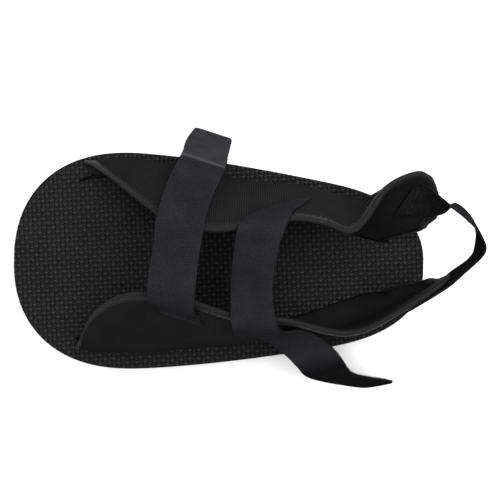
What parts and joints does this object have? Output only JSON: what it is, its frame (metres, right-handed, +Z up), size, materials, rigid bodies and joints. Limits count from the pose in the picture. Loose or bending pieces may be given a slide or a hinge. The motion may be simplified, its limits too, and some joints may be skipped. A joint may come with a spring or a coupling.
{
  "type": "post operative shoe",
  "caption": "open-toe, open-heel post operative shoe with a thick textured foam sole, two padded side flaps and hook-and-loop straps over the forefoot, instep and heel",
  "frame": {"origin": "centre of the flat underside of the sole, on the floor, at the middle of the sole's length", "axes": "+X to the heel, -X to the toe, +Y to the flap that carries the instep strap's root, +Z up"},
  "size_m": [0.2877, 0.1698, 0.1206],
  "materials": {
    "eva_foam": "closed-cell foam with a moulded basket weave, soft sheen",
    "flap_fabric": "knitted cloth bonded to foam, matte",
    "webbing": "woven nylon outside, brushed loop pile inside"
  },
  "bodies": {
    "root": {"outsole": "eva_foam", "midsole": "eva_foam", "top_sheet": "eva_foam", "upper": "flap_fabric", "forefoot_strap": "webbing", "instep_strap": "webbing", "heel_strap": "webbing"}
  },
  "joints": []
}
